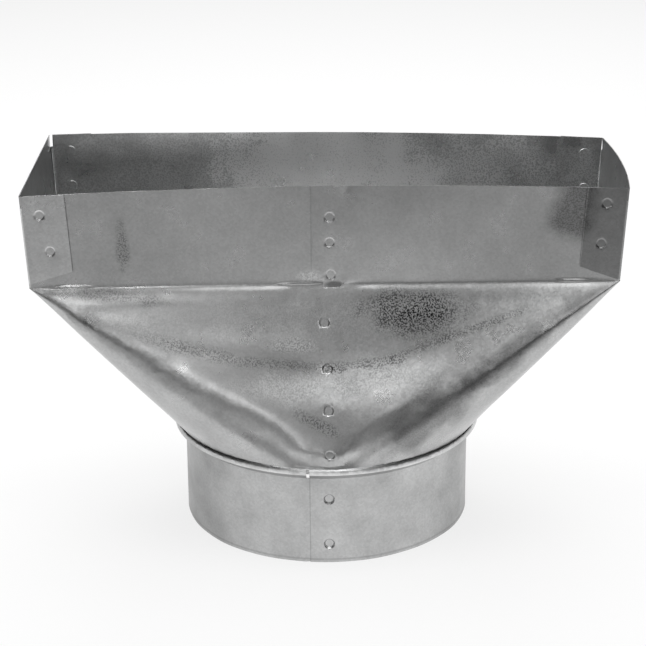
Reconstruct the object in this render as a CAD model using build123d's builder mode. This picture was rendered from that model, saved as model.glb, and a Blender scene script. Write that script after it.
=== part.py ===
"""Register boot of galvanised sheet: a folded rectangular box above, a square-to-round
transition below it, and a rolled round collar at the foot.

Millimetres. Z is up along the duct and starts at the collar's lower edge, X runs along
the box, and the lap seam is at the front, on the -Y side.
"""

import os
from math import asin, atan2, cos, degrees, hypot, radians, sin, sqrt, tan

from build123d import *

# Sheet
sheet = 0.4                # 30 gauge steel
lap_gap = 0.12             # air between two lapped layers
corner_bend = 0.8          # bevel of the upright folds, on the inside

# Round collar
collar_radius = 77.5       # outside, for a 6 inch duct
collar_straight = 48.4     # plain length below the flare
collar_lap = 20.0          # overlap of the rolled strip
flare_height = 4.2
rim_height = 1.7           # upright band above the flare
lip_height = 0.9           # edge rolled in over the foot of the neck
rim_split = 1.6            # open cut through the rim at the strip's end

# Joint between the collar and the neck of the body
neck_radius = 82.0         # outside of the neck
skirt_foot = 0.6           # how far the foot of the neck turns out under the lip
joint_clearance = 0.15
neck_gap = 0.3             # from the lip up to the lower end of the transition

# Transition and box
transition_height = 89.8
corner_bends = 16          # narrow bends that round each corner of the transition
wall_height = 49.3         # at the corners
opening_length = 305.2     # inside, at the rim
opening_width = 104.2
side_lean = 2.25           # how far each end wall leans out over its height
panel_lean = 1.6           # the same for the front and back panels
rim_crown = 3.0            # rise of the rim at the middle of the long panels
wall_bow = 3.2             # bulge of the right-hand end wall at the rim

# Corner tabs, which come from the end walls and lie outside the panels
tab_width = 23.0
tab_rise = 8.6             # lower edge, from the corner up to the free edge
panel_end_gap = 2.0        # from the end of a panel to the end wall
slit_depth = 6.5           # relief cut at the top of each corner fold
slit_width = 1.4

# Lap seam down the front
seam_x = 2.2
seam_lap = 16.0            # overlap of the two layers
joggle = 2.0               # length of the step from one layer to the other
joggle_gap = 0.5           # from the covered edge to the step
flap_chamfer_x = 4.8       # lower corner of the flap on the box
flap_chamfer_z = 5.4
flap_end_gap = 2.0         # from the flaps' ends to the fold and to the neck
relief_length = 10.2       # opening at the fold, where the two layers change places
relief_height = 3.6
relief_shift = 1.8         # from the seam's middle to the opening's

# Press joints: a round dimple through both layers, with a button behind it
press_sides = 20
mouth_radius = 3.0
floor_radius = 2.1
dimple_depth = 1.2
button_radius = 3.3
button_tip_radius = 2.7
button_height = 0.8        # behind the inner layer
box_joints = (0.26, 0.53, 0.89)                 # shares of the wall, down from the rim
transition_joints = (0.213, 0.449, 0.69, 0.895)  # shares of the slope, down from the fold
collar_joints = (0.22, 0.75)                    # shares of the collar, up from its edge
tab_joints = (0.18, 0.58)                       # shares of the wall, down from the rim

# Levels and half sizes that follow
layer_step = sheet + lap_gap
flare_top = collar_straight + flare_height
rim_top = flare_top + rim_height
lip_top = rim_top + lip_height
neck_z = lip_top + neck_gap
fold_z = neck_z + transition_height
rim_z = fold_z + wall_height
walls_top = rim_z + 1.5 * rim_crown             # walls are made taller, then trimmed
fold_half_x = opening_length / 2 - side_lean + sheet
fold_half_y = opening_width / 2 - panel_lean + sheet
side_run = fold_half_x - neck_radius
panel_run = neck_radius - fold_half_y
side_cos = transition_height / hypot(transition_height, side_run)
panel_cos = transition_height / hypot(transition_height, panel_run)
reach = opening_length                          # past everything, for cuts
flap_left = seam_x - seam_lap / 2
flap_right = seam_x + seam_lap / 2


def polar(radius, angle):
    """Point in plan at an angle in degrees."""
    return (radius * cos(radians(angle)), radius * sin(radians(angle)))


def box_block(length_grow, width_grow, bevel):
    """Block inside the box: its sides are the end walls' inner faces and the panels' outer
    faces, moved out by the two amounts."""
    with BuildPart() as block:
        for height in (fold_z, walls_top):
            lean = (height - fold_z) / wall_height
            half_x = fold_half_x - sheet + side_lean * lean + length_grow
            half_y = fold_half_y + panel_lean * lean + width_grow
            with BuildSketch(Plane.XY.offset(height)) as outline:
                with BuildLine():
                    Polyline((half_x, half_y), (-half_x, half_y), (-half_x, -half_y), (half_x, -half_y))
                    if height > fold_z:
                        ThreePointArc((half_x, -half_y), (half_x + wall_bow * lean, 0), (half_x, half_y))
                    else:
                        Line((half_x, -half_y), (half_x, half_y))
                make_face()
                chamfer(outline.vertices(), bevel)
        loft(ruled=True)
    return block.part


def transition_block(grow):
    """Block from the box's lower rectangle to the neck, with its skin moved out: four flat
    triangles, and between them a fan of narrow bends at each corner."""
    half_x = fold_half_x + grow / side_cos
    half_y = fold_half_y + grow / panel_cos
    bend_count = 4 * corner_bends
    corners = [(x, y, fold_z) for x in (-half_x, half_x) for y in (-half_y, half_y)]
    touches = [(*polar(neck_radius + grow, 360 * bend / bend_count), neck_z) for bend in range(bend_count)]
    with BuildPart() as block:
        ConvexPolyhedron(corners + touches)
    return block.part


def transition_layer(inner, outer):
    """Skin of the transition between two offsets."""
    core = transition_block(inner)
    skin = transition_block(outer)
    with BuildPart() as layer:
        add(skin)
        add(core, mode=Mode.SUBTRACT)
    return layer.part


def front_strip(left, right, bottom, top):
    """Upright slab in front of the axis, between two X planes and two levels."""
    with BuildPart() as strip:
        with BuildSketch(Plane.XZ):
            with Locations(((left + right) / 2, (bottom + top) / 2)):
                Rectangle(right - left, top - bottom)
        extrude(amount=reach)
    return strip.part


def end_walls():
    """The two end walls with their four tabs folded round the corners."""
    rim_half_x = fold_half_x + side_lean
    corner_inset = corner_bend + 2 * sheet
    outside = box_block(sheet, layer_step, corner_bend + sheet)
    inside = box_block(0, lap_gap, corner_bend)
    with BuildPart() as walls:
        add(outside)
        add(inside, mode=Mode.SUBTRACT)
        with BuildSketch(Plane.XZ):
            with BuildLine():
                Polyline(
                    (-rim_half_x + tab_width, walls_top),
                    (-fold_half_x + tab_width, fold_z + tab_rise),
                    (-fold_half_x + corner_inset, fold_z),
                    (fold_half_x - corner_inset, fold_z),
                    (fold_half_x - tab_width, fold_z + tab_rise),
                    (rim_half_x - tab_width, walls_top),
                    close=True,
                )
            make_face()
        extrude(amount=reach, both=True, mode=Mode.SUBTRACT)
        # Relief slits, through the tabs at the back and through the end walls at the front
        slit_z = rim_z - slit_depth
        back_face = fold_half_y + panel_lean + layer_step
        upward = (Align.CENTER, Align.CENTER, Align.MIN)
        for side in (-1, 1):
            slit_x = side * (rim_half_x - sheet - slit_width / 2)
            with Locations((slit_x, back_face, slit_z)):
                Box(slit_width, tab_width, reach, align=upward, mode=Mode.SUBTRACT)
            with Locations((side * rim_half_x, -back_face + corner_bend + sheet, slit_z)):
                Box(tab_width, slit_width, reach, align=upward, mode=Mode.SUBTRACT)
    return walls.part


def panels():
    """Front panel, lapped at the seam, and plain back panel."""
    face = -fold_half_y
    step_start = flap_right + joggle_gap
    step_end = step_start + joggle
    rise = walls_top - fold_z
    lean = panel_lean * rise / wall_height
    slope = hypot(rise, lean)
    behind_flap = box_block(reach, lap_gap / 2, corner_bend)
    between_ends = box_block(-panel_end_gap, layer_step + sheet, corner_bend)
    with BuildPart() as flap_trim:
        with BuildSketch(Plane.XZ):
            with BuildLine():
                Polyline(
                    (flap_left - joggle, fold_z),
                    (step_start, fold_z),
                    (step_start, fold_z + flap_end_gap),
                    (flap_left + flap_chamfer_x, fold_z + flap_end_gap),
                    (flap_left + flap_chamfer_x, fold_z + flap_chamfer_z),
                    (flap_left, fold_z + 2 * flap_chamfer_z),
                    (flap_left - joggle, fold_z + 2 * flap_chamfer_z),
                    close=True,
                )
            make_face()
        extrude(amount=reach)
        add(behind_flap, mode=Mode.SUBTRACT)
    with BuildPart() as front:
        with BuildSketch(Plane.XY.offset(fold_z)):
            with BuildLine():
                Polyline(
                    (-reach, face),
                    (flap_right, face),
                    (flap_right, face + sheet),
                    (-reach, face + sheet),
                    close=True,
                )
            make_face()
            with BuildLine():
                Polyline(
                    (reach, face),
                    (step_end, face),
                    (step_start, face - layer_step),
                    (flap_left, face - layer_step),
                    (flap_left, face - lap_gap),
                    (step_start, face - lap_gap),
                    (step_end, face + sheet),
                    (reach, face + sheet),
                    close=True,
                )
            make_face()
        extrude(amount=slope, dir=(0, -lean, rise))
        add(flap_trim.part, mode=Mode.SUBTRACT)
        add(between_ends, mode=Mode.INTERSECT)
    with BuildPart() as back:
        with BuildSketch(Plane.XY.offset(fold_z)):
            with Locations((0, -face - sheet / 2)):
                Rectangle(2 * reach, sheet)
        extrude(amount=slope, dir=(0, lean, rise))
        add(between_ends, mode=Mode.INTERSECT)
    return [front.part, back.part]


def lapped_transition():
    """Transition sheet with its lap at the front, where the left edge lies on top."""
    step_left = flap_left - joggle_gap - sheet
    flap_bottom = neck_z + flap_end_gap
    flap_top = fold_z - flap_end_gap
    flap_slab = front_strip(step_left, flap_right, flap_bottom, flap_top)
    step_slab = front_strip(step_left, step_left + sheet, flap_bottom, flap_top)
    slot_slab = front_strip(step_left, flap_left, flap_bottom, flap_top)
    flap_skin = transition_layer(lap_gap, layer_step)
    step_skin = transition_layer(-sheet, layer_step)
    plain_skin = transition_layer(-sheet, 0)
    with BuildPart() as flap:
        add(flap_skin)
        add(flap_slab, mode=Mode.INTERSECT)
    with BuildPart() as step:
        add(step_skin)
        add(step_slab, mode=Mode.INTERSECT)
    with BuildPart() as transition:
        add(plain_skin)
        add(slot_slab, mode=Mode.SUBTRACT)
        add([flap.part, step.part])
    return transition.part


def panel_joint(x, drop, side):
    """Plane on the outer layer of the front (-1) or back (1) of the box, facing out."""
    lean = panel_lean * (1 - drop)
    y = side * (fold_half_y + lean + layer_step)
    z = rim_z - drop * wall_height
    return Plane((x, y, z), x_dir=(1, 0, 0), z_dir=(0, side * wall_height, -panel_lean))


def transition_joint(x, drop):
    """Plane on the outer layer of the transition's front, facing out."""
    y = -(fold_half_y + panel_run * drop + layer_step / panel_cos)
    z = fold_z - drop * transition_height
    return Plane((x, y, z), x_dir=(1, 0, 0), z_dir=(0, -transition_height, panel_run))


def collar_joint(x, share):
    """Plane on the outside of the collar's front, facing out."""
    y = -sqrt(collar_radius**2 - x**2)
    return Plane((x, y, share * collar_straight), x_dir=(0, 0, 1), z_dir=(x, y, 0))


def frustum(plane, top, bottom, depth, mode):
    """Many-sided frustum that runs inwards from a plane."""
    with BuildSketch(plane) as upper:
        RegularPolygon(top, press_sides)
    with BuildSketch(plane.offset(-depth)) as lower:
        RegularPolygon(bottom, press_sides)
    loft([upper.sketch, lower.sketch], ruled=True, mode=mode)


def press(plane):
    """Press both layers together at a plane: a button behind, then the dimple in front."""
    button_length = layer_step + sheet + button_height
    frustum(plane.offset(-sheet / 2), button_radius, button_tip_radius, button_length - sheet / 2, Mode.ADD)
    frustum(plane, mouth_radius, floor_radius, dimple_depth, Mode.SUBTRACT)


transition = lapped_transition()
ends = end_walls()
front_panel, back_panel = panels()

with BuildPart() as boot_body:
    add([transition, ends, front_panel, back_panel])
    # Neck below the transition, its foot turned out to hook under the collar's lip
    foot_radius = neck_radius + skirt_foot
    foot_z = flare_top + 2 * joint_clearance
    foot_top = rim_top - skirt_foot
    with BuildSketch(Plane.XZ):
        with BuildLine():
            Polyline(
                (neck_radius, neck_z),
                (neck_radius, foot_top + skirt_foot),
                (foot_radius, foot_top),
                (foot_radius, foot_z),
                (foot_radius - sheet, foot_z),
                (foot_radius - sheet, foot_top - sheet / 2),
                (neck_radius - sheet, foot_top + skirt_foot - sheet / 2),
                (neck_radius - sheet, neck_z),
                close=True,
            )
        make_face()
    revolve(axis=Axis.Z)
    # Crowned rim
    crown_radius = ((fold_half_x + side_lean) ** 2 + rim_crown**2) / (2 * rim_crown)
    with BuildSketch(Plane.XZ):
        with Locations((0, rim_z)):
            Rectangle(reach + tab_width, 4 * rim_crown)
        with Locations((0, rim_z + rim_crown - crown_radius)):
            Circle(crown_radius, mode=Mode.SUBTRACT)
    extrude(amount=reach, both=True, mode=Mode.SUBTRACT)
    # Opening at the fold where the layers change places
    with BuildSketch(Plane.XZ):
        with Locations((seam_x + relief_shift, fold_z)):
            SlotOverall(relief_length, relief_height)
    extrude(amount=reach, mode=Mode.SUBTRACT)
    tab_x = fold_half_x + side_lean - tab_width / 2
    for drop in box_joints:
        press(panel_joint(seam_x, drop, -1))
    for drop in transition_joints:
        press(transition_joint(seam_x, drop))
    for x in (-tab_x, tab_x):
        for drop in tab_joints:
            press(panel_joint(x, drop, -1))
            press(panel_joint(x, drop, 1))

strip_edge = -90 - degrees(asin((collar_lap / 2 - seam_x) / collar_radius))
strip_end = -90 + degrees(asin((collar_lap / 2 + seam_x) / collar_radius))
step_foot = strip_edge - degrees(joggle_gap / collar_radius)
step_head = step_foot - degrees(joggle / collar_radius)
under_radius = collar_radius - layer_step
lap_top = collar_straight - flare_height / 2
split_x = seam_x - collar_lap / 2 - rim_split / 2
rim_cut = front_strip(split_x - rim_split / 2, split_x + rim_split / 2, collar_straight, neck_z)

with BuildPart() as round_collar:
    # Tube, flare and rolled rim
    rim_inside = neck_radius + skirt_foot + joint_clearance
    lip_inside = neck_radius + joint_clearance
    flare_turn = atan2(rim_inside - collar_radius + sheet, flare_height)
    lip_turn = atan2(skirt_foot, lip_height)
    flare_miter = sheet * tan(flare_turn / 2)
    lip_miter = sheet * tan(lip_turn / 2)
    with BuildSketch(Plane.XZ):
        with BuildLine():
            Polyline(
                (collar_radius - sheet, 0),
                (collar_radius - sheet, collar_straight),
                (rim_inside, flare_top),
                (rim_inside, rim_top),
                (lip_inside, lip_top),
                (lip_inside + sheet * cos(lip_turn), lip_top + sheet * sin(lip_turn)),
                (rim_inside + sheet, rim_top + lip_miter),
                (rim_inside + sheet, flare_top - flare_miter),
                (collar_radius, collar_straight - flare_miter),
                (collar_radius, 0),
                close=True,
            )
        make_face()
    revolve(axis=Axis.Z)
    # The strip's end steps in behind its beginning
    with BuildSketch():
        with BuildLine():
            Polyline(
                polar(under_radius - sheet, step_head),
                polar(collar_radius + sheet, step_head),
                polar(collar_radius + sheet, strip_edge),
                polar(under_radius - sheet, strip_edge),
                close=True,
            )
        make_face()
    extrude(amount=lap_top, mode=Mode.SUBTRACT)
    with BuildSketch():
        with BuildLine():
            under_face = CenterArc((0, 0), under_radius, step_foot, strip_end - step_foot)
            under_back = CenterArc((0, 0), under_radius - sheet, step_foot, strip_end - step_foot)
            Polyline(
                under_face @ 0,
                polar(collar_radius, step_head),
                polar(collar_radius - sheet, step_head),
                under_back @ 0,
            )
            Line(under_face @ 1, under_back @ 1)
        make_face()
    extrude(amount=lap_top)
    add(rim_cut, mode=Mode.SUBTRACT)
    for share in collar_joints:
        press(collar_joint(seam_x, share))

os.makedirs("parts", exist_ok=True)

boot_body.part.label = "boot_body"
export_step(boot_body.part, "parts/boot_body.step")

round_collar.part.label = "round_collar"
export_step(round_collar.part, "parts/round_collar.step")
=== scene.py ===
from math import cos, hypot, pi, radians, sin

import bmesh
import bpy
import numpy as np
from mathutils import Matrix, Vector


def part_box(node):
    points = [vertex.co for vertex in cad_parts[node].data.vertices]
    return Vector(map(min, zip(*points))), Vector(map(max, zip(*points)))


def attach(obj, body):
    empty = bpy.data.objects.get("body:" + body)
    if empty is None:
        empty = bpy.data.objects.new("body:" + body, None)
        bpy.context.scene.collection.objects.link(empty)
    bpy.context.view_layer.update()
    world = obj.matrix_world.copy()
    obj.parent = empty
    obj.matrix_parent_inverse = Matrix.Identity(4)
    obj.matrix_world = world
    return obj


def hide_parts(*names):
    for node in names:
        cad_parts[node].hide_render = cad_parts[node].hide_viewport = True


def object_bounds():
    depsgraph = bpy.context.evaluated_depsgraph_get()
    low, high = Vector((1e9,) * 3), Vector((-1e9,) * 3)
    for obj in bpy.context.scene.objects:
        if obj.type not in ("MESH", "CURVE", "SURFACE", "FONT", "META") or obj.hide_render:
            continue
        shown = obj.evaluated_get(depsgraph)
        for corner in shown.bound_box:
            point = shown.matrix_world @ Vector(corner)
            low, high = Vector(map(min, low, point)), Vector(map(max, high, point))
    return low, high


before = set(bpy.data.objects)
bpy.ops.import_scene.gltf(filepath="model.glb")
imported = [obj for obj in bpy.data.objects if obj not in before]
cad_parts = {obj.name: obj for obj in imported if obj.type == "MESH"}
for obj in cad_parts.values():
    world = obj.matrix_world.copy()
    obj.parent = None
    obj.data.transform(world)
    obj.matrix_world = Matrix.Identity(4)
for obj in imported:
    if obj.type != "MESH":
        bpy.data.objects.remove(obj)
cad_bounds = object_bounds()

# Shapes, patches and zones are in millimetres. The floor, the lamps and the camera are in metres.
MILLIMETRE = 0.001

# Levels and half sizes of the part
body_low, body_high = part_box("boot_body")
collar_low, collar_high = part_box("round_collar")
body_top_z = body_high.z / MILLIMETRE
collar_top_z = collar_high.z / MILLIMETRE
corner_rim_z = 194.6
fold_z = 145.3
neck_z = 55.5
transition_height = fold_z - neck_z
fold_half_x = 150.75
fold_half_y = 50.9
neck_radius = 82.0
slope_lean = (neck_radius - fold_half_y) / transition_height

# Mesh, with finer slices at the fold, given in fold radii from it. WELD is in metres.
WELD = 1e-6
flat_angle = radians(0.1)
body_pitch = 3.5
collar_pitch = 5.0
fold_radius = 1.1
fold_slices = (-8, -6.5, -5, -4, -3, -2, -1, 1, 2)
crease = radians(24)
sharp_edge = radians(50)
fairing_rounds = 12
fairing_step = 0.5

# Waves of the transition's front: a swell of its lower part, which fades towards the ridges
front_swell = 2.2
swell_top_z = 112.0
swell_full_z = 80.0
swell_margin = 8.0
swell_sides = (1.05, 0.4)

# Mounds and hollows of the front: height, centre X and Z, half length and width, turn in degrees
front_mounds = (
    (0.7, -48, 113, 55, 9, -6),
    (-1.2, 46, 114, 46, 17, 16),
    (-0.5, -108, 135, 34, 6, 4),
)
ripple_height = 0.1
ripple_length_x = 13.0
ripple_length_z = 11.0
ripple_shift = 1.0

# The back has the front's waves, mirrored, stretched and shifted
back_stretch = 0.9
back_shift_x = 14.0
back_shift_z = 6.0

# Where the waves reach full height, as shares of the transition's height and of its flat width
waves_from = 0.12
waves_to = 0.9
flat_margin = 12.0
flat_sides = (1.35, 0.85)

# Ridges between the front and the corners of the transition: a dip along each one, and a swell
# beyond it, as a depth and the start, middle and end across the ridge at the neck
left_ridge = ((1.0, -12, 4, 14), (-2.6, 7, 25, 42))
right_ridge = ((0.45, -11, -3, 6), (-3.3, 3, 23, 42))
ridge_taper = 0.76
ridge_start = 0.19
ridge_start_more = 0.25
ridge_late = (8, 25)
ridge_end = 0.95

# Soft ridges that fan out round the corners: how many to a turn, and their shift in radians
fan_height = 0.9
fan_start = 0.25
fan_left = (7, 2.2)
fan_right = (9, 0.6)

# Shelf that the bend leaves under the fold, clear of the seam and of the corners
shelf_out = 0.4
shelf_drop = 2.6
shelf_end = 10.0
shelf_uneven = 0.35
shelf_wave = 29.0
shelf_shift = 2.0
shelf_middle = (12, 24)
shelf_sides = (146, 132)

# Belly of the panels, and a bump on the left: centre X and Z, half width and height, turn in degrees
belly_out = 0.5
belly_wave = 33.0
belly_shift = 0.8
belly_sides = (148, 115)
panel_margin = 2.0
bump_out = 0.35
bump_place = (-102, 163, 3, 12, 8)

# Layers of the lapped sheet at the box, whose free edges stand off
panel_lean = 1.6
side_lean = 2.25
sheet = 0.4
layer_gap = 0.12
layer_step = sheet + layer_gap
tab_stand_off = 0.5
tab_bend = (142, 128)
tab_inner_x = 120.0
flap_stand_off = 0.45
flap_bend = (0, -6.5)
flap_outer_x = 20.0

# Right-hand front tab, drawn in, and the right-hand end of the back panel, which reaches the wall
tab_drawn_in = 2.0
tab_drawn_bend = (138, 131)
panel_end_gap = 1.8
panel_end_bend = (115, 147)
end_wall_inside = 1.2

# Twist of the box against the collar: how far its corners rise or sink
twist_left = 2.0
twist_right = 1.0

# Press joints of the front: X and Z on the CAD part, and how far the real ones are off them
joint_reach = 3.15
joint_pull = 10.0
joint_depth = 1.5
joint_depth_kept = 0.28
tab_joint_x = 141.5
upper_tab_z = 185.7
lower_tab_z = 166.0
seam_x = 2.2
front_joints = (
    (-tab_joint_x, upper_tab_z, -1.4, -1.1),
    (-tab_joint_x, lower_tab_z, 2.8, -0.7),
    (tab_joint_x, upper_tab_z, 0.5, 1.2),
    (tab_joint_x, lower_tab_z, -1.4, -0.3),
    (seam_x, 181.8, 0.9, -0.5),
    (seam_x, 168.5, 0.8, -0.7),
    (seam_x, 150.7, 1.3, -0.4),
    (seam_x, 126.2, -2.0, 0.5),
    (seam_x, 105.0, -0.5, -0.5),
    (seam_x, 83.3, 0.0, 1.5),
    (seam_x, 64.9, 0.5, -1.5),
)

# Buttons of the back's press joints, which are nearly flat
button_reach = 3.5
button_kept = 0.15
back_joints = [(side * tab_joint_x, level) for side in (-1, 1) for level in (upper_tab_z, lower_tab_z)]

# Uneven collar: a wave and a finer ripple round it, clear of the rim and of the lap
collar_wave = 0.12
collar_wave_count = 7
collar_wave_climb = 30.0
collar_ripple = 0.08
collar_ripple_count = 17
collar_ripple_shift = 2.0
rim_clear = (8, 20)
lap_clear = 0.25

# Galvanised finish: textures to the metre, their ranges, and the tones that they give
grain_scale = 1000
flake_scale = 240
cloud_scale = 60
cloud_detail = 5
cloud_range = (0.3, 0.7)
stain_scale = 12
stain_detail = 3
stain_range = (0.35, 0.65)
stain_tones = (0.95, 1.04)
grain_tones = (0.93, 1.06)
speckle_scale = 1300
speckle_detail = 1
pit_range = (0.40, 0.56)
pit_light_share = 1 / 3
ragged_edge = 0.35
patch_fade = (0.45, 1.1)
facing_front = (0.0, 0.15)
zinc_tint = (0.995, 1.0, 1.0)
grain_tilt = 0.025
flake_tilt = 0.012
roughness_spread = 0.04
body_tone = 0.5
body_roughness = 0.3
body_mottle = 0.06
collar_tone = 0.525
collar_roughness = 0.36
collar_mottle = 0.1

# Patches of the body, marks on the sheet and painted light and shade: centre, half size, climb to the
# right in degrees, tone, strength of the specks
body_patches = (
    # Dull patch under the fold
    ((46, -55, 134.5), (36, 20, 9.5), 0, 0.74, 0.7),
    ((50, -58, 126.5), (22, 20, 12.5), 0, 0.68, 0.7),
    # Smear and rubbed mark on the front panel
    ((125, -53, 187), (14, 6, 20), 0, 0.55, 0.3),
    ((-102, -53, 166), (3.5, 6, 14), 0, 0.80, 0.4),
    # Painted shade round the opening at the fold and on the inside of the back seen through it, and
    # painted light below the flap's corner
    ((4, -51.2, fold_z), (5.5, 6, 2.2), 0, 0.6, 0.3),
    ((3.5, 64.3, 104), (8.5, 6, 4.5), 0, 0.3, 0.1),
    ((-6.5, -51.2, 149.5), (7.5, 6, 3.5), 0, 1.3, 0.2),
    # Dark mark low on the seam
    ((-2.5, -77, 77.8), (15, 20, 3.8), -26, 0.86, 0.5),
    # Painted shade: dark bands of reflection along the right-hand ridge
    ((54, -72, 78), (42, 60, 11), 38, 0.58, 0.1),
    ((100, -61, 114), (42, 60, 8), 36.5, 0.60, 0.1),
    ((44, -71, 86.5), (44, 60, 4.2), 42.6, 0.84, 0.1),
    # Painted shade: a dark line across the front where the swell starts, from left to right
    ((-61, -62, 112), (34, 20, 4.2), -13, 0.92, 0.4),
    ((-18, -65, 106.5), (32, 20, 3.6), -4, 0.90, 0.4),
    ((20, -64, 106.5), (26, 20, 3.5), 6, 0.86, 0.4),
    ((54, -61, 115.5), (26, 20, 3.5), 19, 0.86, 0.4),
    ((82, -58, 125), (26, 20, 3), 19, 0.88, 0.45),
    # Broad painted light and shade above and below that line
    ((-20, -56, 128), (75, 20, 15), 0, 1.02, 0.12),
    ((-17, -62, 115), (18, 20, 4), 0, 1.12, 0.3),
    ((-18.5, -68, 96.5), (30, 20, 10), 0, 1.2, 0.2),
    ((26, -66, 99), (24, 20, 8), 10, 0.92, 0.2),
    # Painted highlight along the left-hand ridge, and painted shade in a streak above it
    ((-105, -57, 126.5), (45, 20, 6), -21, 1.1, 0.1),
    ((-107, -53, 139.5), (42, 20, 4.2), -4, 0.74, 0.3),
    # Painted light on the inside of the back panel, strongest in the middle and lighter on the right
    ((0, 52, 170), (200, 20, 60), 0, 1.52, 0.2),
    ((0, 52, 180), (55, 20, 40), 0, 2.15, 0.3),
    ((110, 52, 170), (80, 20, 60), 0, 1.3, 0.1),
)

# Zones of painted light and shade: planes that bound them, each a point and a direction into the
# zone, then the width over which the edges fade, and the tone
edge_width = 0.4
before_panel = ((0, -49.5, fold_z), (0, -1, -0.0325))
# Painted light on the left front tab
left_tab_light = (((-130, 0, 194), (-0.998, 0, -0.056)), ((-127.8, 0, 152.5), (-0.31, 0, 0.951)), before_panel)
# Painted shade on the right front tab
right_tab_shade = (((132.2, 0, 194), (0.998, 0, -0.065)), ((129.6, 0, 154), (0.334, 0, 0.942)), before_panel)
# Painted shadow: a thin dark line on the panel beside the flap's left edge
flap_shadow_line = (
    ((-6.8, 0, 0), (1, 0, 0)),
    ((-5.8, 0, 0), (-1, 0, 0)),
    ((0, 0, 152.5), (0, 0, 1)),
    before_panel,
)
# Painted light on the left tab, painted shade on the right tab, painted shadow beside the flap's edge
body_zones = (
    (left_tab_light, edge_width, 1.22),
    (right_tab_shade, edge_width, 0.55),
    (flap_shadow_line, edge_width, 0.86),
)
# Painted highlight on the collar's rolled rim
rim_highlight = (((0, 0, 52.2), (0, 0, 1)),)
# Painted shadow: a thin dark line beside the collar's lap edge, at the front
lap_edge = (
    ((-8.1, 0, 0), (1, 0, 0)),
    ((-7.3, 0, 0), (-1, 0, 0)),
    ((0, -30, 0), (0, -1, 0)),
    ((0, 0, 51.5), (0, 0, -1)),
)
# Painted shade: a thin dark line along the collar's hem
hem_shadow_line = (((0, 0, 1), (0, 0, 1)), ((0, 0, 2.4), (0, 0, -1)))
before_middle = ((0, 30, 0), (0, -1, 0))
# Painted shade darkening the collar's left and right sides towards their edges, at the front
collar_left_shade = (((-36, 0, 0), (-1, 0, 0)), before_middle)
collar_right_shade = (((50, 0, 0), (1, 0, 0)), before_middle)
# Painted highlight on the rim, painted shadow lines at the lap's edge and the hem, painted shade on the
# sides
collar_zones = (
    (rim_highlight, edge_width, 1.55),
    (lap_edge, edge_width, 0.7),
    (hem_shadow_line, edge_width, 0.8),
    (collar_left_shade, 40, 0.56),
    (collar_right_shade, 22, 0.74),
)

# Floor: white round the part, and grey further ahead
floor_half = 4.0
white_share = 0.8
fade_slant = 0.35
grey_reach = (0.22, 0.36)
dark_reach = (0.65, 0.95)
near_tone = 0.9
ahead_tone = 0.48
dark_share = 0.35

# Lamps: name, direction from the front and height in degrees, distance, width, length, watts
world_strength = 0.02
stage_centre = Vector((0, 0, 0.1))
lamps = (
    ("overhead", 0, 89, 1.3, 1.6, 1.2, 20),
    ("front_low", 0, 33, 1.4, 1.0, 0.25, 2.0),
    ("left_near", -16, 20, 1.3, 0.2, 0.6, 0.22),
    ("right_near", 15, 19, 1.3, 0.2, 0.55, 0.7),
    ("left_low", -12, 7, 1.3, 0.18, 0.16, 0.5),
    ("back_high", 180, 48, 1.6, 1.2, 0.6, 14),
    ("left_back", -140, 35, 1.3, 0.6, 0.6, 1),
    ("right_back", 140, 35, 1.3, 0.6, 0.6, 1),
)

# Camera, as fitted to the photograph
photo_size = 646
focal_px = 1870.3
sensor_width = 36.0
camera_distance = 1.01554
camera_elevation = radians(20.591)
camera_yaw = radians(0.930)
camera_roll = radians(-0.504)
camera_target = Vector((-0.00144, 0, 0.10474))


def smooth(edge_low, edge_high, value):
    """Smooth step from 0 at one edge to 1 at the other."""
    share = np.clip((value - edge_low) / (edge_high - edge_low), 0, 1)
    return share * share * (3 - 2 * share)


def mound(x, z, centre_x, centre_z, half_x, half_z, turn):
    """Soft round bump of height 1 over a patch of the front, turned by an angle in degrees."""
    along = (x - centre_x) * cos(radians(turn)) + (z - centre_z) * sin(radians(turn))
    across = (z - centre_z) * cos(radians(turn)) - (x - centre_x) * sin(radians(turn))
    return np.exp(-((along / half_x) ** 2) - (across / half_z) ** 2)


def slice_levels(low, high, pitch):
    """Evenly spaced levels between two corners along each axis, in metres."""
    levels = []
    for start, stop in zip(low, high):
        count = round((stop - start) / (pitch * MILLIMETRE))
        levels.append([start + (stop - start) * index / count for index in range(1, count)])
    return levels


def sliced_copy(node, levels):
    """Welded copy of a CAD node's mesh, cut by planes across the three axes so it can bend."""
    mesh = bmesh.new()
    mesh.from_mesh(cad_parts[node].data)
    bmesh.ops.remove_doubles(mesh, verts=mesh.verts, dist=WELD)
    bmesh.ops.dissolve_limit(mesh, angle_limit=flat_angle, verts=mesh.verts, edges=mesh.edges)
    for axis, values in enumerate(levels):
        normal = Vector([float(axis == index) for index in range(3)])
        for value in values:
            everything = mesh.verts[:] + mesh.edges[:] + mesh.faces[:]
            bmesh.ops.bisect_plane(
                mesh, geom=everything, dist=WELD, plane_co=normal * value, plane_no=normal
            )
    bmesh.ops.triangulate(mesh, faces=mesh.faces)
    return mesh


def fair(mesh):
    """Round off the flat facets of curved walls, and keep every real edge sharp and in place."""
    loose = []
    for vertex in mesh.verts:
        if all(edge.calc_face_angle(pi) < crease for edge in vertex.link_edges):
            loose.append(vertex)
    for _ in range(fairing_rounds):
        bmesh.ops.smooth_vert(
            mesh, verts=loose, factor=fairing_step, use_axis_x=True, use_axis_y=True, use_axis_z=True
        )
    mesh.normal_update()
    for edge in mesh.edges:
        edge.smooth = edge.calc_face_angle(pi) < sharp_edge
    for face in mesh.faces:
        face.smooth = True


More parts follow.
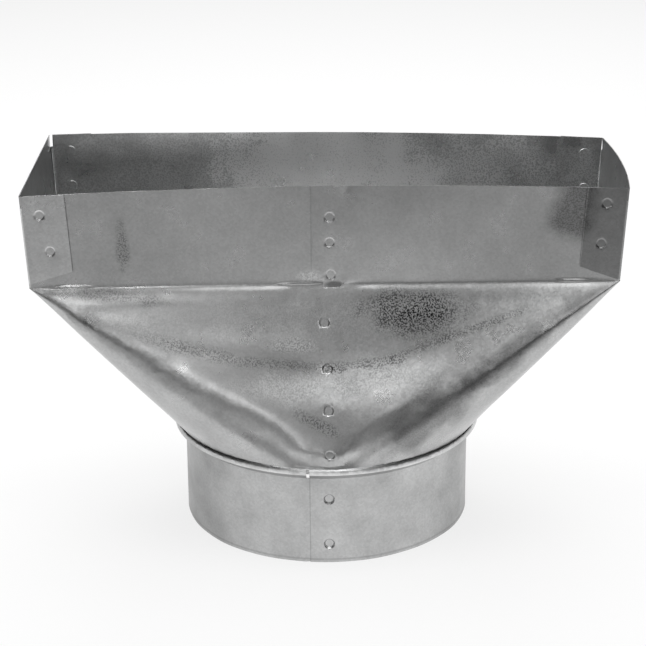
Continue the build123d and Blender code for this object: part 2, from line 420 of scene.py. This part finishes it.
def make_piece(name, mesh, shape):
    """Object from a mesh, its vertices moved by the function that shapes it."""
    data = bpy.data.meshes.new(name)
    mesh.to_mesh(data)
    mesh.free()
    places = np.empty(len(data.vertices) * 3)
    data.vertices.foreach_get("co", places)
    places = shape(places.reshape(-1, 3) / MILLIMETRE) * MILLIMETRE
    low, high = (np.array(corner) for corner in cad_bounds)
    data.vertices.foreach_set("co", np.clip(places, low, high).ravel())
    data.attributes.remove(data.attributes["custom_normal"])
    data.update()
    piece = bpy.data.objects.new(name, data)
    bpy.context.scene.collection.objects.link(piece)
    weighted = piece.modifiers.new("weighted_normals", "WEIGHTED_NORMAL")
    weighted.keep_sharp = True
    return piece


def outer_face(z):
    """Distance of the box's panels and the transition's front and back from the middle, at a height."""
    lean = np.where(z > fold_z, panel_lean / (corner_rim_z - fold_z), -slope_lean)
    return fold_half_y + lean * (z - fold_z)


def on_outer_layer(y, z):
    """Whether a place is on the tabs or the flap, which lie outside the panels."""
    return (z > fold_z) & (np.abs(y) > outer_face(z) + layer_gap / 2)


def wall_share(z):
    """Height on the box's walls, from 0 at the fold to 1 at the top."""
    return np.clip((z - fold_z) / (body_top_z - fold_z), 0, 1)


def shallow_joints(places):
    """Press joints, the front's made shallower and set where the photograph has them."""
    x, y, z = places.T
    moved = places.copy()
    for joint_x, joint_z, shift_x, shift_z in front_joints:
        away = np.hypot(x - joint_x, z - joint_z)
        deep = y + outer_face(z) + layer_step
        dimple = (away < joint_reach) & (deep > 0) & (deep < joint_depth) & (y < 0)
        moved[:, 1] -= dimple * deep * (1 - joint_depth_kept)
        near = smooth(joint_pull, joint_reach, away) * (y < 0)
        moved[:, 0] += shift_x * near
        moved[:, 1] += (outer_face(z) - outer_face(z + shift_z)) * near
        moved[:, 2] += shift_z * near
    for joint_x, joint_z in back_joints:
        high = outer_face(z) - sheet - y
        button = (np.hypot(x - joint_x, z - joint_z) < button_reach) & (y > 0) & (high > 0)
        moved[:, 1] += button * high * (1 - button_kept)
    return moved


def front_waves(x, z):
    """How far the front of the transition stands out at a place."""
    half = fold_half_x * (z - neck_z) / transition_height + swell_margin
    across = np.abs(x) / np.maximum(half, swell_margin)
    waves = front_swell * smooth(swell_top_z, swell_full_z, z) * smooth(*swell_sides, across)
    for height, *patch in front_mounds:
        waves += height * mound(x, z, *patch)
    waves += ripple_height * np.sin(x / ripple_length_x + ripple_shift) * np.sin(z / ripple_length_z)
    return waves


def flat_waves(x, y, z, rise):
    """How far the flat parts of the transition's front and back stand out."""
    back = front_waves(-x * back_stretch + back_shift_x, z + back_shift_z)
    waves = np.where(y < 0, front_waves(x, z), back)
    flat = smooth(*flat_sides, np.abs(x) / (fold_half_x * rise + flat_margin))
    return waves * flat * smooth(0, waves_from, rise) * smooth(1, waves_to, rise)


def ridge_dips(x, z, rise):
    """How far the ridges from the box's corners to the neck lie in, less the swells beyond them."""
    ridge_length = hypot(fold_half_x, transition_height)
    past_ridge = (np.abs(x) * transition_height - (z - neck_z) * fold_half_x) / ridge_length
    width = 1 - ridge_taper * rise
    across = past_ridge / width
    dips = 0
    for left, right in zip(left_ridge, right_ridge):
        depth, start, middle, end = np.where(x[:, None] < 0, left, right).T
        dips += depth * (smooth(start, middle, across) - smooth(middle, end, across))
    start_rise = ridge_start + ridge_start_more * smooth(*ridge_late, across)
    return dips * width * smooth(0, start_rise, rise) * smooth(1, ridge_end, rise)


def corner_ridges(x, y, rise):
    """Moves along X and Y of the soft ridges that fan out round the transition's corners."""
    out_x = np.abs(x) - fold_half_x * rise
    out_y = np.abs(y) - fold_half_y * rise
    corner = (out_x > 0) & (out_y > 0) & (rise > 0) & (rise < 1)
    turn = np.arctan2(out_x, out_y)
    count, shift = np.where(x[:, None] > 0, fan_right, fan_left).T
    fan = np.sin(turn * 2) * np.sin(turn * count + shift)
    ridge = fan_height * fan * (1 - rise) * smooth(0, fan_start, rise) * corner
    return np.sign(x) * np.sin(turn) * ridge, np.sign(y) * np.cos(turn) * ridge


def fold_shelf(x, z):
    """How far the shelf under the fold stands out."""
    below = fold_z - z
    shelf = shelf_out * (smooth(0, shelf_drop, below) - smooth(shelf_drop, shelf_end, below))
    uneven = 1 - shelf_uneven + shelf_uneven * np.sin(x / shelf_wave + shelf_shift)
    return shelf * uneven * smooth(*shelf_middle, np.abs(x)) * smooth(*shelf_sides, np.abs(x))


def panel_belly(x, z):
    """How far the box's front and back panels bulge."""
    panel = (z > fold_z) & (np.abs(x) < fold_half_x - panel_margin)
    belly = belly_out * np.sin(pi * wall_share(z)) * np.sin(x / belly_wave + belly_shift)
    belly += bump_out * mound(x, z, *bump_place)
    return belly * panel * smooth(*belly_sides, np.abs(x))


def free_edges(x, y, z):
    """How far the free edges of the corner tabs and of the seam's flap stand off."""
    tab = tab_stand_off * smooth(*tab_bend, np.abs(x)) * (np.abs(x) > tab_inner_x)
    flap = flap_stand_off * smooth(*flap_bend, x) * (np.abs(x) < flap_outer_x)
    return on_outer_layer(y, z) * (tab + flap)


def right_ends(x, y, z):
    """Moves along X of the right-hand front tab's edge and of the back panel's right-hand end."""
    front_tab = on_outer_layer(y, z) & (y < 0) & (x > tab_inner_x)
    end_wall = fold_half_x - sheet + side_lean * wall_share(z)
    inner_layer = np.abs(y) < outer_face(z) + layer_gap / 2
    back_panel = (z > fold_z) & (y > 0) & inner_layer & (x < end_wall - end_wall_inside)
    moves = tab_drawn_in * front_tab * smooth(*tab_drawn_bend, x)
    return moves + panel_end_gap * back_panel * smooth(*panel_end_bend, x)


def shape_body(places):
    """Body with the waves, dents and uneven layers of the folded sheet."""
    x, y, z = places.T
    moved = shallow_joints(places)
    rise = np.clip((z - neck_z) / transition_height, 0, 1)
    out = flat_waves(x, y, z, rise) - ridge_dips(x, z, rise)
    out += fold_shelf(x, z) + panel_belly(x, z) + free_edges(x, y, z)
    corner_x, corner_y = corner_ridges(x, y, rise)
    twist = np.where(x < 0, twist_left, twist_right)
    moved[:, 0] += corner_x + right_ends(x, y, z)
    moved[:, 1] += corner_y + np.where(y < 0, -out, out)
    moved[:, 2] -= twist * rise * x * y / (fold_half_x * fold_half_y)
    return moved


def shape_collar(places):
    """Slightly uneven rolled collar."""
    x, y, z = places.T
    turn = np.arctan2(x, -y)
    out = collar_wave * np.sin(collar_wave_count * turn + z / collar_wave_climb)
    out += collar_ripple * np.sin(collar_ripple_count * turn + collar_ripple_shift)
    out *= smooth(collar_top_z - rim_clear[0], collar_top_z - rim_clear[1], z)
    out *= smooth(0, lap_clear, np.abs(turn))
    moved = places.copy()
    moved[:, 0] += out * np.sin(turn)
    moved[:, 1] -= out * np.cos(turn)
    return moved


class Wiring:
    """A new material, with short ways to add nodes to it and join them."""

    def __init__(self, name):
        self.material = bpy.data.materials.new(name)
        self.material.use_nodes = True
        self.nodes = self.material.node_tree.nodes
        self.links = self.material.node_tree.links

    def feed(self, value, socket):
        """Link an output to a socket, or set the socket to a plain value."""
        if isinstance(value, bpy.types.NodeSocket):
            self.links.new(value, socket)
        else:
            socket.default_value = value

    def add(self, kind, sockets):
        """New node, with its sockets fed by name or number."""
        node = self.nodes.new(kind)
        for key, value in sockets.items():
            self.feed(value, node.inputs[key])
        return node

    def number(self, operation, first, second=0.0):
        """Result of a sum on two numbers."""
        node = self.add("ShaderNodeMath", {0: first, 1: second})
        node.operation = operation
        return node.outputs["Value"]

    def vector(self, operation, first, second=(0, 0, 0)):
        """Result of a sum on two vectors."""
        node = self.add("ShaderNodeVectorMath", {0: first, 1: second})
        node.operation = operation
        return node.outputs["Value" if operation in ("LENGTH", "DOT_PRODUCT") else "Vector"]

    def spread(self, value, source, target, interpolation="LINEAR"):
        """Value carried from one range to another."""
        sockets = {
            "Value": value,
            "From Min": source[0],
            "From Max": source[1],
            "To Min": target[0],
            "To Max": target[1],
        }
        node = self.add("ShaderNodeMapRange", sockets)
        node.interpolation_type = interpolation
        return node.outputs["Result"]

    def between(self, low, high, share):
        """Mix of two numbers."""
        return self.add("ShaderNodeMix", {"A": low, "B": high, "Factor": share}).outputs["Result"]


def galvanised(name, tone, roughness, mottle, patches, zones):
    """Galvanised sheet: fine spangle, each grain a little lighter or darker and turned its own
    way, cloudy zinc, patches with their own tone and speckle, some of them marks on the sheet and
    some painted light and shade, and zones of painted light and shade."""
    wire = Wiring(name)
    shader = wire.nodes["Principled BSDF"]
    shader.inputs["Metallic"].default_value = 1.0
    place = wire.nodes.new("ShaderNodeTexCoord").outputs["Object"]
    surface = wire.nodes.new("ShaderNodeNewGeometry").outputs["Normal"]

    def texture(kind, scale, detail, output):
        return wire.add(kind, {"Vector": place, "Scale": scale, "Detail": detail}).outputs[output]

    grains = texture("ShaderNodeTexVoronoi", grain_scale, 0, "Color")
    flakes = texture("ShaderNodeTexVoronoi", flake_scale, 0, "Color")
    clouds = texture("ShaderNodeTexNoise", cloud_scale, cloud_detail, "Fac")
    stains = texture("ShaderNodeTexNoise", stain_scale, stain_detail, "Fac")
    speckle = texture("ShaderNodeTexNoise", speckle_scale, speckle_detail, "Fac")
    grain = wire.add("ShaderNodeSeparateColor", {"Color": grains}).outputs["Red"]

    # Tone of the plain sheet
    cloud_tone = wire.spread(clouds, cloud_range, (1 - mottle, 1 + mottle))
    stain_tone = wire.spread(stains, stain_range, stain_tones)
    grain_tone = wire.spread(grain, (0, 1), grain_tones)
    shade = wire.number("MULTIPLY", wire.number("MULTIPLY", cloud_tone, stain_tone), grain_tone)

    # Patches, only on faces that look to the front
    to_front = wire.spread(wire.vector("DOT_PRODUCT", surface, (0, -1, 0)), facing_front, (0, 1))
    ragged = wire.spread(clouds, cloud_range, (-ragged_edge, ragged_edge))
    for centre, half_size, climb, patch_tone, specks in patches:
        sockets = {
            "Vector": place,
            "Location": Vector(centre) * MILLIMETRE,
            "Rotation": (0, -radians(climb), 0),
            "Scale": Vector(half_size) * MILLIMETRE,
        }
        local = wire.add("ShaderNodeMapping", sockets)
        local.vector_type = "TEXTURE"
        away = wire.number("ADD", wire.vector("LENGTH", local.outputs["Vector"]), ragged)
        inside = wire.number("MULTIPLY", wire.spread(away, patch_fade, (1, 0)), to_front)
        pits = wire.spread(speckle, pit_range, (1 - specks, 1 + specks * pit_light_share))
        speckled = wire.number("MULTIPLY", pits, patch_tone)
        shade = wire.number("MULTIPLY", shade, wire.between(1.0, speckled, inside))

    # Zones of painted light and shade, between planes
    for planes, fade_width, zone_tone in zones:
        inside = 1.0
        for point, inward in planes:
            offset = wire.vector("SUBTRACT", place, Vector(point) * MILLIMETRE)
            past = wire.vector("DOT_PRODUCT", offset, inward)
            share = wire.spread(past, (0, fade_width * MILLIMETRE), (0, 1))
            inside = wire.number("MULTIPLY", inside, share)
        shade = wire.number("MULTIPLY", shade, wire.between(1.0, zone_tone, inside))
    channels = {index: wire.number("MULTIPLY", shade, tone * gain) for index, gain in enumerate(zinc_tint)}
    wire.feed(wire.add("ShaderNodeCombineColor", channels).outputs["Color"], shader.inputs["Base Color"])

    # Grains and flakes, each with its own tilt
    turned = surface
    for colour, tilt in ((grains, grain_tilt), (flakes, flake_tilt)):
        centred = wire.vector("SUBTRACT", colour, (0.5, 0.5, 0.5))
        turned = wire.vector("ADD", turned, wire.vector("MULTIPLY", centred, (tilt, tilt, tilt)))
    wire.feed(wire.vector("NORMALIZE", turned), shader.inputs["Normal"])
    gloss = (roughness + roughness_spread, roughness - roughness_spread)
    wire.feed(wire.spread(clouds, cloud_range, gloss), shader.inputs["Roughness"])
    return wire.material


def pale_floor():
    """Floor that the camera and reflections see as white round the part and grey further ahead,
    and that takes the part's shadow."""
    wire = Wiring("floor")
    wire.nodes.clear()
    place = wire.nodes.new("ShaderNodeTexCoord").outputs["Object"]
    part = wire.add("ShaderNodeSeparateXYZ", {"Vector": place})
    aside = wire.number("MULTIPLY", wire.number("ABSOLUTE", part.outputs["X"]), fade_slant)
    ahead = wire.number("SUBTRACT", aside, part.outputs["Y"])

    def faded(reach, near, far):
        return wire.spread(ahead, reach, (near, far), "SMOOTHSTEP")

    rays = wire.nodes.new("ShaderNodeLightPath")
    mirrored = wire.number("MAXIMUM", rays.outputs["Is Glossy Ray"], rays.outputs["Is Transmission Ray"])
    seen = wire.number("MAXIMUM", rays.outputs["Is Camera Ray"], mirrored)
    white = wire.number("MULTIPLY", seen, faded(grey_reach, white_share, 0.0))
    grey = faded(grey_reach, near_tone, ahead_tone)
    tone = wire.number("MULTIPLY", grey, faded(dark_reach, 1.0, dark_share))
    matt = wire.add("ShaderNodeBsdfDiffuse", {"Color": tone})
    glow = wire.add("ShaderNodeEmission", {"Strength": 1.0})
    blend = wire.add(
        "ShaderNodeMixShader", {"Fac": white, 1: matt.outputs["BSDF"], 2: glow.outputs["Emission"]}
    )
    wire.add("ShaderNodeOutputMaterial", {"Surface": blend.outputs["Shader"]})
    return wire.material


def softbox(name, side, height, distance, width, length, watts):
    """Soft lamp that faces the part, placed by its angles round the part from the front."""
    data = bpy.data.lights.new(name, "AREA")
    data.shape = "RECTANGLE"
    data.size = width
    data.size_y = length
    data.energy = watts
    lamp = bpy.data.objects.new(name, data)
    bpy.context.scene.collection.objects.link(lamp)
    level = cos(radians(height))
    way = Vector((sin(radians(side)) * level, -cos(radians(side)) * level, sin(radians(height))))
    lamp.location = stage_centre + way * distance
    lamp.rotation_euler = way.to_track_quat("Z", "Y").to_euler()


# Body
body_levels = slice_levels(body_low, body_high, body_pitch)
body_levels[2] += [(fold_z + share * fold_radius) * MILLIMETRE for share in fold_slices]
body_mesh = sliced_copy("boot_body", body_levels)
fair(body_mesh)
body = make_piece("body_sheet", body_mesh, shape_body)
body.data.materials.append(
    galvanised("galvanised_body", body_tone, body_roughness, body_mottle, body_patches, body_zones)
)
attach(body, "root")
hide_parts("boot_body")

# Collar
collar_mesh = sliced_copy("round_collar", slice_levels(collar_low, collar_high, collar_pitch))
fair(collar_mesh)
collar = make_piece("collar_sheet", collar_mesh, shape_collar)
collar.data.materials.append(
    galvanised("galvanised_collar", collar_tone, collar_roughness, collar_mottle, (), collar_zones)
)
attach(collar, "root")
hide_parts("round_collar")

# Floor
floor_mesh = bpy.data.meshes.new("floor")
floor_corners = [(x * floor_half, y * floor_half, 0) for x, y in ((-1, -1), (1, -1), (1, 1), (-1, 1))]
floor_mesh.from_pydata(floor_corners, [], [(0, 1, 2, 3)])
floor = bpy.data.objects.new("floor", floor_mesh)
bpy.context.scene.collection.objects.link(floor)
floor_mesh.materials.append(pale_floor())

# Light
world = bpy.data.worlds.new("studio")
world.use_nodes = True
sky = world.node_tree.nodes["Background"]
sky.inputs["Color"].default_value = (1, 1, 1, 1)
sky.inputs["Strength"].default_value = world_strength
bpy.context.scene.world = world
for lamp in lamps:
    softbox(*lamp)

# Camera
camera_data = bpy.data.cameras.new("camera")
camera_data.sensor_width = sensor_width
camera_data.lens = focal_px / photo_size * sensor_width
camera = bpy.data.objects.new("camera", camera_data)
bpy.context.scene.collection.objects.link(camera)
back = Vector((
    sin(camera_yaw) * cos(camera_elevation),
    -cos(camera_yaw) * cos(camera_elevation),
    sin(camera_elevation),
))
right = (-back).cross(Vector((0, 0, 1))).normalized()
up = right.cross(-back)
rolled_right = right * cos(camera_roll) + up * sin(camera_roll)
rolled_up = up * cos(camera_roll) - right * sin(camera_roll)
turn = Matrix((rolled_right, rolled_up, back)).transposed()
camera.matrix_world = Matrix.Translation(camera_target + back * camera_distance) @ turn.to_4x4()
bpy.context.scene.camera = camera

bpy.context.scene.view_settings.view_transform = "Standard"
